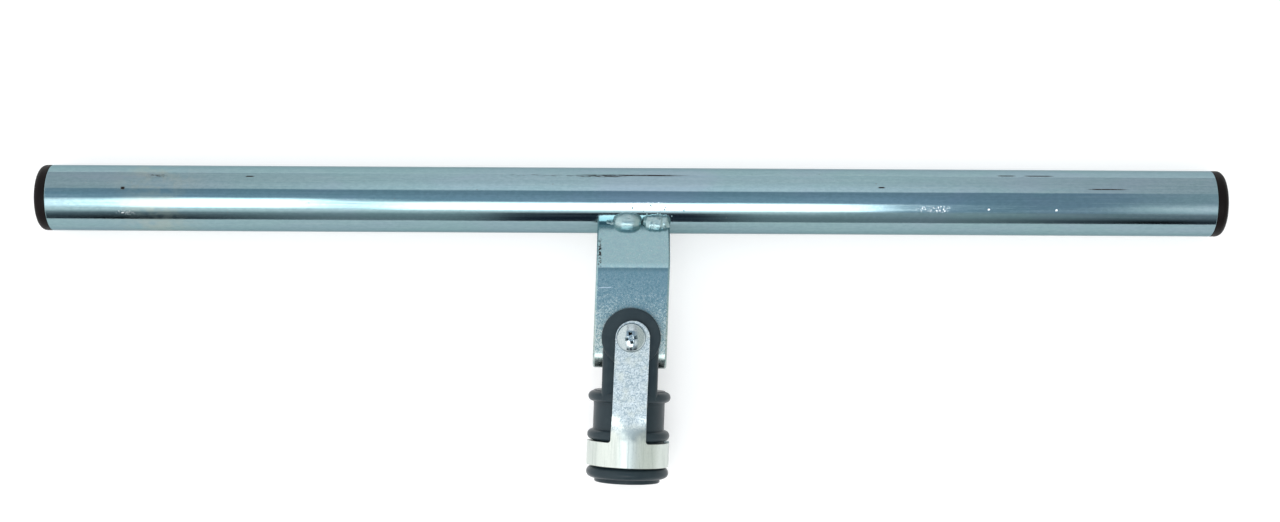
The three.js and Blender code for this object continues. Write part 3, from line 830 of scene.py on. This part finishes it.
def add_blob(mesh, centre, half_sizes, detail, lump, ripple, seed, pit=None):
    """A lumpy ellipsoid. Ripple is the height of the weld's crescents across X, pit a small hole's place."""
    made = bmesh.ops.create_icosphere(mesh, subdivisions=detail, radius=1)
    offset = Vector((seed * 7.3, seed * 3.1, seed))
    for vertex in made["verts"]:
        unit = vertex.co.copy()
        point = Vector(math.copysign(abs(a) ** BEAD_FULLNESS, a) * b for a, b in zip(unit, half_sizes))
        rough = lump * noise.noise(point * 0.45 + offset) + 0.35 * lump * noise.noise(point * 1.5 + offset)
        rough += ripple * math.sin(2.6 * (point.x + 0.05 * point.z * point.z))
        if pit is not None:
            near = (point - pit).length
            rough -= PIT_DEPTH * math.exp(-(near / PIT_RADIUS) ** 2)
        vertex.co = centre + point + unit * rough


def make_beads(material):
    face = STRIP_THICKNESS / 2
    root = TUBE_RADIUS
    smooth_bead = bmesh.new()
    add_blob(smooth_bead, Vector((-3.1, face - 0.5, root)), SMOOTH_HALF_SIZES, 5, 0.12, 0.0, 1, PIT)
    rough_bead = bmesh.new()
    add_blob(rough_bead, Vector((11.3, face - 0.7, root)), ROUGH_HALF_SIZES, 5, 0.34, 0.12, 4)
    add_blob(rough_bead, Vector((15.3, face - 0.5, root - 0.2)), CORNER_HALF_SIZES, 4, 0.4, 0.0, 9)
    scatter = random.Random(SPATTER_SEED)
    for i in range(SPATTER_COUNT):
        angle = math.radians(scatter.uniform(*SPATTER_ANGLES))
        radius = scatter.uniform(*SPATTER_RADII)
        x = scatter.gauss(SPATTER_MIDDLE, SPATTER_SPREAD)
        spot = Vector((x, root * math.sin(angle), root * math.cos(angle)))
        add_blob(rough_bead, spot, (radius, radius, radius), 2, 0.1, 0.0, i)
    things = [("smooth_weld", smooth_bead, 1, "front_weld_bead_1")]
    things.append(("rough_weld", rough_bead, 1, "front_weld_bead_2"))
    for number, x in ((1, -REAR_BEAD_X), (2, REAR_BEAD_X)):
        rear = bmesh.new()
        add_blob(rear, Vector((x, face - 0.4, root + 0.3)), REAR_HALF_SIZES, 5, 0.4, 0.08, 20 + number)
        things.append((f"rear_weld_{number}", rear, -1, f"rear_weld_bead_{number}"))
    for name, mesh, side, node in things:
        finish_piece(piece(name, mesh, bead_frame(side), 180), "head", "weld_metal", material, node)


# ---- Handle socket ----


def collar(middle, thickness):
    """A rounded collar's profile with small fillets into the barrel."""
    edge = thickness / 2
    low = middle - edge
    high = middle + edge
    points = [(BARREL_RADIUS, low - COLLAR_FILLET), (BARREL_RADIUS + COLLAR_TURN, low - COLLAR_TURN)]
    points += arc(COLLAR_RADIUS - edge, middle, edge, -80, 80, 14)
    points += [(BARREL_RADIUS + COLLAR_TURN, high + COLLAR_TURN), (BARREL_RADIUS, high + COLLAR_FILLET)]
    return points


def make_barrel():
    flange_low = FLANGE_Y - FLANGE_THICKNESS / 2
    profile = [(0, BORE_END_Y), (BORE_END_RADIUS, BORE_END_Y), (BORE_MOUTH_RADIUS, MOUTH_Y + BORE_CHAMFER)]
    profile += [(BORE_MOUTH_RADIUS + MOUTH_EDGE, MOUTH_Y)]
    profile += arc(MOUTH_RADIUS - MOUTH_EDGE, MOUTH_Y + MOUTH_EDGE, MOUTH_EDGE, -90, 0, 4)
    profile += [(MOUTH_RADIUS, flange_low)]
    profile += collar(FLANGE_Y, FLANGE_THICKNESS)[1:]
    for middle in RIB_YS:
        profile += collar(middle, RIB_THICKNESS)
    profile += [(0, RIB_YS[1] + RIB_THICKNESS / 2 + COLLAR_FILLET)]
    return piece("socket_moulding", lathe(profile, 144), YOKE)


def make_ears():
    """The block of both ears, before the slot is cut."""
    section = rounded_rectangle(EAR_HALF_WIDTH, EAR_FACE_Z, EAR_EDGE, 8)
    low = RIB_YS[1] - EAR_ROOT_DEPTH
    up_socket = YOKE @ Matrix.Rotation(math.radians(-90), 4, "X")
    block = piece("ears", prism(section, low, EAR_HALF_WIDTH + 1), up_socket)
    tongue = [(-EAR_HALF_WIDTH, low - 1), (EAR_HALF_WIDTH, low - 1)] + arc(0, 0, EAR_HALF_WIDTH, 0, 180, 48)
    combine(block, piece("tongue", prism(tongue, -CUT_REACH, CUT_REACH), YOKE), "INTERSECT")
    return block


def make_boss(side):
    profile = [(0, BOSS_ROOT_Z), (BOSS_RADIUS, BOSS_ROOT_Z)]
    profile += arc(BOSS_RADIUS - BOSS_EDGE, BARREL_RADIUS - BOSS_EDGE, BOSS_EDGE, 0, 90, 6)
    profile += [(0, BARREL_RADIUS)]
    return piece("boss", lathe(profile, 128), YOKE @ Matrix.Rotation(math.radians(side * 90), 4, "X"))


def askew(side):
    """Turns what is drawn square to the front of the socket to sit as the strap on that side does."""
    middle = (BAND_TOP_Y + BAND_LOW_Y) / 2
    about = Matrix.Translation((0, middle, 0))
    turn = Matrix.Identity(4) if side > 0 else Matrix.Rotation(math.pi, 4, "Y")
    return YOKE @ turn @ about @ Matrix.Rotation(STRAP_LEAN, 4, "Z") @ about.inverted()


def make_socket(material):
    socket = make_barrel()
    combine(socket, make_ears(), "UNION")
    for side in (1, -1):
        combine(socket, make_boss(side), "UNION")
    wide = CUT_REACH
    opening = [(-wide, SLOT_END_Y), (wide, SLOT_END_Y), (wide, wide), (-wide, wide)]
    cut(socket, prism(opening, -SLOT_HALF, SLOT_HALF), YOKE)
    room = ARM_HALF_WIDTH + GROOVE_CLEARANCE
    reach = math.degrees(math.asin(room / BARREL_RADIUS))
    groove = arc(0, 0, BARREL_RADIUS, 90 + reach, 90 - reach, 12) + [(room, wide), (-room, wide)]
    for side in (1, -1):
        # The groove's outline lies in X and Z, and its extrusion runs down the socket.
        cut(socket, prism(groove, -SLOT_END_Y, -BAND_TOP_Y), askew(side) @ ALONG_Z)
    cut(socket, rod(HOLE_RADIUS, CUT_REACH, 48), YOKE @ ALONG_Z)
    bevel(socket, 0.3, 2, 40)
    smooth(socket, 40)
    finish_piece(socket, "handle_yoke", "grey_plastic", material, "handle_socket")


# ---- Straps ----

TOP_STEPS = 18
ARM_STEPS = 40
FILLET_STEPS = 8
ARM_COLUMNS = 24
WING_COLUMNS = 16
BAND_STEPS = 12


def strap_rows():
    """Rows of the T's outline from the round top down: (height, half width) with the corner fillets."""
    rows = []
    for i in range(1, TOP_STEPS + 1):
        angle = math.radians(90 - 90 * i / TOP_STEPS)
        rows.append((ARM_HALF_WIDTH * math.sin(angle), ARM_HALF_WIDTH * math.cos(angle)))
    fillet_top = BAND_TOP_Y + ARM_FILLET
    for i in range(1, ARM_STEPS + 1):
        rows.append((fillet_top * i / ARM_STEPS, ARM_HALF_WIDTH))
    for i in range(1, FILLET_STEPS + 1):
        angle = math.radians(90 * i / FILLET_STEPS)
        half = ARM_HALF_WIDTH + ARM_FILLET * (1 - math.cos(angle))
        rows.append((fillet_top - ARM_FILLET * math.sin(angle), half))
    return rows


def on_strap(across, height, lift):
    """A point of the strap from its distance across, its height and how far it is off the middle surface."""
    flat, curled = ARM_CURL
    part = min(1, max(0, (height - flat) / (curled - flat)))
    part = part * part * (3 - 2 * part)
    bend = max(part, 0.0001) / STRAP_MIDDLE_Z
    turn = across * bend
    radius = 1 / bend
    x = (radius + lift) * math.sin(turn)
    z = STRAP_MIDDLE_Z - radius + (radius + lift) * math.cos(turn)
    return Vector((x, height, z))


def strap_grid():
    """The T as flat quads: a list of rows of (across, height) points, for the arm and for the crossbar."""
    arm = []
    for height, half in strap_rows():
        arm.append([(half * (2 * i / ARM_COLUMNS - 1), height) for i in range(ARM_COLUMNS + 1)])
    neck = arm[-1]
    end = STRAP_MIDDLE_Z * math.pi / 2 - BAND_SPLIT
    wing = []
    for i in range(WING_COLUMNS):
        wing.append(-end + (end + neck[0][0]) * i / WING_COLUMNS)
    across = wing + [point[0] for point in neck] + [-value for value in reversed(wing)]
    band = []
    for i in range(BAND_STEPS + 1):
        height = BAND_TOP_Y + (BAND_LOW_Y - BAND_TOP_Y) * i / BAND_STEPS
        band.append([(value, height) for value in across])
    return arm, band


def make_strap(name, side, material):
    mesh = bmesh.new()
    arm, band = strap_grid()
    for rows in (arm, band):
        grid = [[mesh.verts.new((x, y, 0)) for x, y in row] for row in rows]
        for upper, lower in zip(grid, grid[1:]):
            for i in range(len(upper) - 1):
                mesh.faces.new((upper[i], upper[i + 1], lower[i + 1], lower[i]))
    bmesh.ops.remove_doubles(mesh, verts=mesh.verts, dist=MERGE_DISTANCE)
    flat = list(mesh.faces)
    extruded = bmesh.ops.extrude_face_region(mesh, geom=flat, use_keep_orig=True)
    lifted = {item for item in extruded["geom"] if isinstance(item, bmesh.types.BMVert)}
    for vertex in mesh.verts:
        lift = STRAP_THICKNESS / 2 if vertex in lifted else -STRAP_THICKNESS / 2
        vertex.co = on_strap(vertex.co.x, vertex.co.y, lift)
    strap = piece(name, mesh, askew(side))
    cut(strap, rod(HOLE_RADIUS, CUT_REACH, 48), YOKE @ ALONG_Z)
    bevel(strap, 0.7, 4, 45)
    smooth(strap, 40)
    finish_piece(strap, "handle_yoke", "frosted_zinc", material, name.replace("plate", "strap"))


# ---- Pivot hardware ----


def recess_wedge(top):
    """One bar of the cross recess, which narrows downwards: rings of height, half length and half width."""
    mesh = bmesh.new()
    rings = []
    for height, long, wide in ((top + 1.5, 3.7, 1.05), (top - 0.3, 3.2, 0.85), (top - 2.6, 1.5, 0.6)):
        corners = ((-long, -wide), (long, -wide), (long, wide), (-long, wide))
        rings.append([mesh.verts.new((x, height, z)) for x, z in corners])
    for lower, upper in zip(rings, rings[1:]):
        join_rings(mesh, lower, upper)
    mesh.faces.new(rings[0])
    mesh.faces.new(rings[-1])
    return mesh


def make_screw(material):
    seat = SCREW_SEAT
    rim = seat + SCREW_HEAD_RIM
    edge = SCREW_HEAD_EDGE
    tip = NUT_END - SCREW_PAST_NUT
    profile = [(0, tip), (SCREW_RADIUS - SCREW_CHAMFER, tip), (SCREW_RADIUS, tip + SCREW_CHAMFER)]
    profile += [(SCREW_RADIUS, seat), (SCREW_HEAD_RADIUS - edge, seat), (SCREW_HEAD_RADIUS, seat + edge)]
    steps = 24
    for i in range(steps + 1):
        angle = math.pi / 2 * i / steps
        radius = 0 if i == steps else SCREW_HEAD_RADIUS * math.cos(angle)
        profile.append((radius, rim + (SCREW_HEAD_HEIGHT - SCREW_HEAD_RIM) * math.sin(angle)))
    screw = piece("truss_screw", lathe(profile, 96), YOKE @ ALONG_Z)
    for degrees in (RECESS_TURN, RECESS_TURN + 90):
        turn = Matrix.Rotation(math.radians(degrees), 4, "Y")
        cut(screw, recess_wedge(SCREW_SEAT + SCREW_HEAD_HEIGHT), YOKE @ ALONG_Z @ turn)
    bevel(screw, 0.12, 2, 50)
    smooth(screw, 35)
    finish_piece(screw, "handle_yoke", "hardware_zinc", material, "pivot_screw")


def ring_profile(inner, outer, low, high, edge):
    """A ring's section with rounded outer edges."""
    profile = [(inner, low)]
    profile += arc(outer - edge, low + edge, edge, -90, 0, 4)
    profile += arc(outer - edge, high - edge, edge, 0, 90, 4)
    profile += [(inner, high), (inner, low)]
    return profile


def make_rear_hardware(zinc, steel, nylon):
    washer_low = WASHER_TOP - WASHER_THICKNESS
    washer = lathe(ring_profile(HOLE_RADIUS, WASHER_RADIUS, washer_low, WASHER_TOP, RING_EDGE), 72)
    washer = piece("washer_ring", washer, YOKE @ ALONG_Z)
    finish_piece(washer, "handle_yoke", "hardware_zinc", zinc, "rear_washer")

    bushing = ring_profile(HOLE_RADIUS, BUSHING_RADIUS, -BUSHING_HALF, BUSHING_HALF, RING_EDGE)
    bushing = piece("bushing_tube", lathe(bushing, 64), YOKE @ ALONG_Z)
    finish_piece(bushing, "handle_yoke", "pole_steel", steel, "pivot_bushing")

    flat = NUT_ACROSS_FLATS / 2
    corner = flat / math.cos(math.pi / 6)
    hexagon = [(corner * math.cos(i * math.pi / 3), corner * math.sin(i * math.pi / 3)) for i in range(6)]
    nut = piece("nut_body", prism(hexagon, NUT_SHOULDER, NUT_TOP), YOKE)
    chamfer = [(0, NUT_SHOULDER), (flat, NUT_SHOULDER), (corner + 0.1, NUT_SHOULDER + NUT_CHAMFER)]
    chamfer += [(corner + 0.1, NUT_TOP - NUT_CHAMFER), (flat, NUT_TOP), (0, NUT_TOP)]
    combine(nut, piece("chamfer", lathe(chamfer, 72), YOKE @ ALONG_Z), "INTERSECT")
    crown = [(0, NUT_END)]
    crown += arc(NUT_COLLAR_RADIUS - NUT_CHAMFER, NUT_END + NUT_CHAMFER, NUT_CHAMFER, -90, 0, 6)
    crown += [(NUT_COLLAR_RADIUS, NUT_SHOULDER + 0.2), (0, NUT_SHOULDER + 0.2)]
    combine(nut, piece("crown", lathe(crown, 72), YOKE @ ALONG_Z), "UNION")
    hole = [(0, NUT_END - 1), (NYLON_RADIUS, NUT_END - 1), (NYLON_RADIUS, NUT_SHOULDER)]
    hole += [(HOLE_RADIUS - 0.2, NUT_SHOULDER), (HOLE_RADIUS - 0.2, NUT_TOP + 1), (0, NUT_TOP + 1)]
    cut(nut, lathe(hole, 64), YOKE @ ALONG_Z)
    bevel(nut, 0.15, 2, 40)
    smooth(nut, 30)
    finish_piece(nut, "handle_yoke", "hardware_zinc", zinc, "lock_nut")

    insert = lathe(ring_profile(SCREW_RADIUS - 0.05, NYLON_RADIUS, NUT_END + 0.35, NUT_SHOULDER, 0.1), 64)
    insert = piece("nylon_ring", insert, YOKE @ ALONG_Z)
    finish_piece(insert, "handle_yoke", "nylon", nylon, "lock_nut_insert")


def dress_inside(ferrite, steel, spacer):
    """Gives the CAD solids inside the tube their materials."""
    for name, node in frame["nodes"].items():
        if name.startswith("pole_disc"):
            material = steel
        elif name.endswith("spacer"):
            material = spacer
        elif name.startswith("magnet_") and name != "magnet_tube":
            material = ferrite
        else:
            continue
        for slot in node.material_slots:
            slot.material = material


# ---- Surroundings ----


WHITE = colour(1.0, 1.0, 1.0)
WALL = colour(1.45, 1.48, 1.55)
WALL_HIGH = colour(1.2, 1.22, 1.25)
WALL_SIDES = colour(0.86, 0.87, 0.90)
CEILING = colour(0.42, 0.56, 0.68)
CEILING_FRONT = colour(0.56, 0.72, 0.88)
CEILING_RIGHT = colour(0.42, 0.53, 0.66)
CEILING_FAR_RIGHT = colour(0.66, 0.74, 0.80)
ROOM = colour(0.62, 0.69, 0.72)
ROOM_SIDES = colour(0.40, 0.44, 0.48)
ROOM_LOW = colour(0.03, 0.045, 0.06)
CORNER = colour(0.0, 0.0, 0.0)
GLOW = colour(1.7, 1.7, 1.7)
PERSON = colour(0.02, 0.03, 0.05)
SOFT_BOX = colour(6.0, 6.0, 6.0)
BRIDGE = colour(2.0, 2.1, 2.1)
DIM_BOX = colour(2.9, 2.9, 2.9)
FAR_BOX = colour(1.6, 1.6, 1.6)
LEFT_SIDE = colour(1.5, 1.5, 1.5)
RIGHT_SIDE = colour(0.85, 0.89, 0.86)


def studio_world():
    """A soft studio surround. Tip and side are degrees from the way to the camera, up and to the right."""
    world = bpy.data.worlds.new("studio")
    world.use_nodes = True
    bpy.context.scene.world = world
    nodes = Nodes(world.node_tree)
    direction = nodes.add("ShaderNodeTexCoord").outputs["Generated"]
    up, back = nodes.dot(direction, VIEW_UP), nodes.dot(direction, VIEW_BACK)
    tip = nodes.math("DEGREES", nodes.math("ARCTAN2", up, back))
    upright = nodes.math("SQRT", nodes.plus(nodes.math("POWER", up, 2.0), nodes.math("POWER", back, 2.0)))
    side = nodes.math("DEGREES", nodes.math("ARCTAN2", nodes.dot(direction, OBJECT_X), upright))
    outward = nodes.math("ABSOLUTE", side)

    def patch(sides, side_soft, tips, tip_soft):
        """1 between two sides and between two tips, with soft edges."""
        return nodes.times(nodes.window(side, *sides, side_soft), nodes.window(tip, *tips, tip_soft))

    # The wall behind, the ceiling overhead and the darker room in front, with whoever stands in it.
    wall = nodes.mix(nodes.step(tip, 34, 70), WALL, WALL_HIGH)
    wall = nodes.mix(nodes.step(outward, 4, 17), wall, WALL_SIDES)
    ceiling = nodes.mix(nodes.step(tip, 26, 2), CEILING, CEILING_FRONT)
    ceiling = nodes.mix(nodes.step(side, 7, 11), ceiling, CEILING_RIGHT)
    ceiling = nodes.mix(nodes.step(side, 13, 16), ceiling, CEILING_FAR_RIGHT)
    light = nodes.mix(nodes.step(tip, 31, 33.5), ceiling, wall)
    room = nodes.mix(nodes.step(outward, 9, 15), ROOM, ROOM_SIDES)
    low = nodes.times(nodes.step(tip, -46, -72), nodes.step(outward, 8, 14, 0.35, 0.9))
    room = nodes.mix(low, room, ROOM_LOW)
    light = nodes.mix(nodes.step(tip, -35, -42), light, room)
    corner = nodes.times(nodes.window(outward, 13.9, 15.7, 0.7), nodes.step(tip, -55, -74))
    light = nodes.mix(corner, light, CORNER)
    glow = patch((-20, 5.5), 1.5, (-47, -20), 8.0)
    light = nodes.mix(nodes.times(glow, 0.9), light, GLOW)
    light = nodes.mix(patch((-4.4, 2.7), 0.8, (-84, -45), 2.5), light, PERSON)

    # Soft boxes.
    key = patch((-7.2, 6.7), 1.0, (-36.5, -11), 4.5)
    fill = patch((-14.3, -9.4), 0.9, (-32, -2), 6.0)
    bridge = patch((-9.4, -7.2), 1.0, (-38, -6), 5.0)
    light = nodes.mix(nodes.times(bridge, 0.9), light, BRIDGE)
    light = nodes.mix(patch((-18, -14.3), 1.0, (-31, -5), 7.0), light, DIM_BOX)
    light = nodes.mix(patch((14.4, 24), 1.6, (-34, -12), 14.0), light, FAR_BOX)
    light = nodes.mix(nodes.math("MAXIMUM", key, fill), light, SOFT_BOX)

    # Wide pale sides, seen only in what faces left or right.
    light = nodes.mix(nodes.step(side, -18.5, -22), light, LEFT_SIDE)
    light = nodes.mix(nodes.step(side, 24, 30), light, RIGHT_SIDE)

    seen = nodes.add("ShaderNodeLightPath").outputs["Is Camera Ray"]
    background = world.node_tree.nodes["Background"]
    nodes.feed(background.inputs["Color"], nodes.mix(seen, light, WHITE))
    background.inputs["Strength"].default_value = 1.0


FLOOR_HALF_SIZE = 6  # in metres
FLOOR_GLOW = 0.48
FLOOR_DARK = colour(0.60, 0.595, 0.59)
FLOOR_PALE = colour(0.62, 0.615, 0.61)


def make_floor():
    mesh = bmesh.new()
    bmesh.ops.create_grid(mesh, x_segments=1, y_segments=1, size=FLOOR_HALF_SIZE)
    data = bpy.data.meshes.new("floor")
    mesh.to_mesh(data)
    mesh.free()
    floor = bpy.data.objects.new("floor", data)
    bpy.context.collection.objects.link(floor)
    material, nodes, shader, place = new_material("pale_floor")
    grain = nodes.noise(place, 0.4, 2.0, 0.5)
    nodes.feed(shader.inputs["Base Color"], nodes.mix(grain, FLOOR_DARK, FLOOR_PALE))
    shader.inputs["Roughness"].default_value = 0.7
    shader.inputs["Specular IOR Level"].default_value = 0.2
    shader.inputs["Emission Color"].default_value = WHITE
    shader.inputs["Emission Strength"].default_value = FLOOR_GLOW
    floor.data.materials.append(material)


def main():
    bpy.context.scene.view_settings.view_transform = "Standard"
    make_camera()
    studio_world()
    make_floor()

    hardware = hardware_zinc()
    steel = plain_solid("pole_steel", STEEL_PALE, STEEL_DARK, 0.3, 1.0, 0.8)
    black = moulded_plastic("black_plastic", PLUG_BLACK, PLUG_DULL, 0.45, 0.12)
    strap = frosted_zinc()
    make_tube(tube_zinc())
    for side in (1, -1):
        make_plug(side, black)
    make_bracket(bracket_zinc())
    make_beads(weld_metal())
    make_socket(moulded_plastic("grey_plastic", SOCKET_GREY, SOCKET_DULL, 0.28, 0.18))
    make_strap("front_plate", 1, strap)
    make_strap("rear_plate", -1, strap)
    make_screw(hardware)
    nylon = plain_solid("nylon", NYLON_PALE, NYLON_DULL, 0.35, 0.0, 1.5)
    make_rear_hardware(hardware, steel, nylon)
    ferrite = plain_solid("ferrite", FERRITE_PALE, FERRITE_DARK, 0.6, 0.0, 1.2)
    spacer = plain_solid("spacer_plastic", SPACER_PALE, SPACER_DULL, 0.5, 0.0, 0.6)
    dress_inside(ferrite, steel, spacer)


main()
